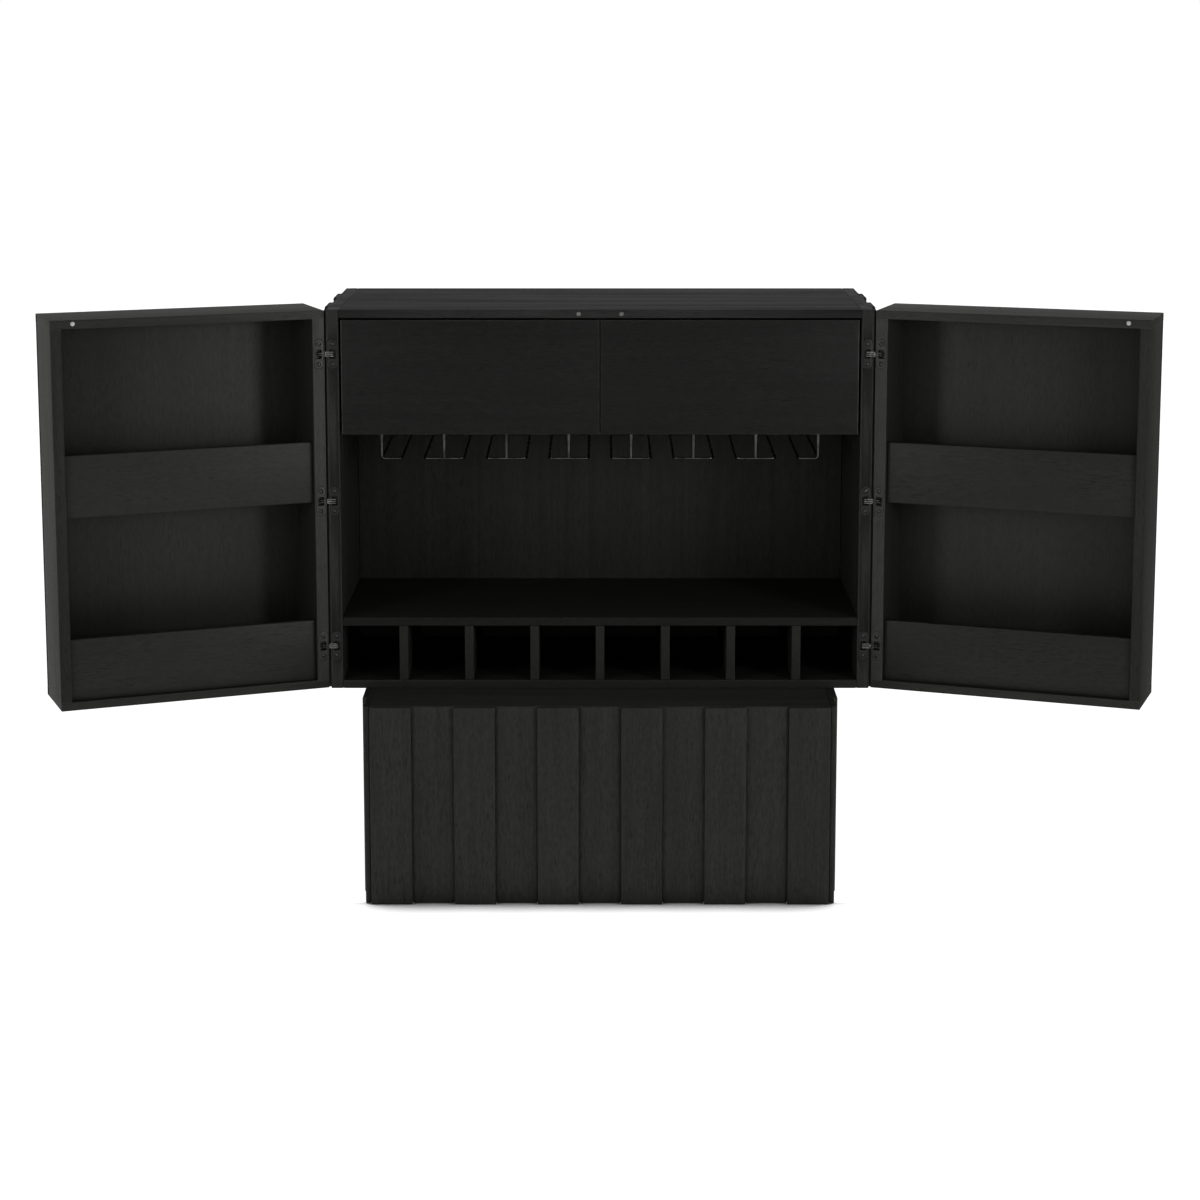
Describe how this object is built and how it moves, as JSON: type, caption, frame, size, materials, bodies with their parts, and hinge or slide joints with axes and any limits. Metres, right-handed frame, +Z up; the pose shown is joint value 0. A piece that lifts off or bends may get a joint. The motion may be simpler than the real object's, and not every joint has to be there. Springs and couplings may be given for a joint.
{
  "type": "bar cabinet",
  "caption": "Bar cabinet of black-stained wood: a case with deep box doors that hold bins, drawers over a stemware rack, and bottle cubbies, on a plinth clad in upright staves.",
  "frame": {"origin": "middle of the plinth's footprint, on the floor", "axes": "+Z up; -Y towards the front, where the doors and drawers open; +X to the right as seen from the front"},
  "size_m": [2.0365, 0.5952, 1.0778],
  "materials": {
    "black_wood": "satin",
    "drawer_wood": "satin",
    "dark_metal": "satin",
    "steel": "satin"
  },
  "bodies": {
    "cabinet": {"plinth_front": "black_wood", "plinth_left_side": "black_wood", "plinth_right_side": "black_wood", "plinth_back": "black_wood", "plinth_top": "black_wood", "plinth_base": "black_wood", "case_left_side": "black_wood", "case_right_side": "black_wood", "case_top": "black_wood", "case_bottom": "black_wood", "case_back": "black_wood", "bar_shelf": "black_wood", "bottle_divider_1": "black_wood", "bottle_divider_2": "black_wood", "bottle_divider_3": "black_wood", "bottle_divider_4": "black_wood", "bottle_divider_5": "black_wood", "bottle_divider_6": "black_wood", "bottle_divider_7": "black_wood", "drawer_floor": "black_wood", "drawer_partition": "black_wood", "stemware_rack": "dark_metal", "left_drawer_case_rail": "steel", "right_drawer_case_rail": "steel", "left_lower_hinge_case_half": "steel", "left_middle_hinge_case_half": "steel", "left_upper_hinge_case_half": "steel", "right_lower_hinge_case_half": "steel", "right_middle_hinge_case_half": "steel", "right_upper_hinge_case_half": "steel"},
    "left_door": {"left_door_panel": "black_wood", "left_door_top_rail": "black_wood", "left_door_bottom_rail": "black_wood", "left_door_hinge_stile": "black_wood", "left_door_closing_stile": "black_wood", "left_door_upper_bin": "black_wood", "left_door_lower_bin_front": "black_wood", "left_lower_hinge_door_half": "steel", "left_middle_hinge_door_half": "steel", "left_upper_hinge_door_half": "steel"},
    "right_door": {"right_door_panel": "black_wood", "right_door_top_rail": "black_wood", "right_door_bottom_rail": "black_wood", "right_door_hinge_stile": "black_wood", "right_door_closing_stile": "black_wood", "right_door_upper_bin": "black_wood", "right_door_lower_bin_front": "black_wood", "right_lower_hinge_door_half": "steel", "right_middle_hinge_door_half": "steel", "right_upper_hinge_door_half": "steel"},
    "left_drawer_slide": {"left_drawer_middle_rail": "steel"},
    "right_drawer_slide": {"right_drawer_middle_rail": "steel"},
    "left_drawer": {"left_drawer_front": "black_wood", "left_drawer_box": "drawer_wood", "left_drawer_bottom": "drawer_wood", "left_drawer_drawer_rail": "steel"},
    "right_drawer": {"right_drawer_front": "black_wood", "right_drawer_box": "drawer_wood", "right_drawer_bottom": "drawer_wood", "right_drawer_drawer_rail": "steel"}
  },
  "joints": [
    {"name": "left_door_hinge", "type": "hinge", "parent": "cabinet", "child": "left_door", "pos_m": [-0.5012, -0.134, 0.7241], "axis": [0, 0, -1], "range_deg": [-158.46, 9.54]},
    {"name": "right_door_hinge", "type": "hinge", "parent": "cabinet", "child": "right_door", "pos_m": [0.5012, -0.134, 0.7241], "axis": [0, 0, 1], "range_deg": [-160.07, 7.93]},
    {"name": "left_runner_inner_slide", "type": "slide", "parent": "cabinet", "child": "left_drawer_slide", "axis": [0, -1, 0], "range_m": [0, 0.125]},
    {"name": "left_runner_outer_slide", "type": "slide", "parent": "left_drawer_slide", "child": "left_drawer", "axis": [0, -1, 0], "range_m": [0, 0.125]},
    {"name": "right_runner_inner_slide", "type": "slide", "parent": "cabinet", "child": "right_drawer_slide", "axis": [0, -1, 0], "range_m": [0, 0.125]},
    {"name": "right_runner_outer_slide", "type": "slide", "parent": "right_drawer_slide", "child": "right_drawer", "axis": [0, -1, 0], "range_m": [0, 0.125]}
  ]
}
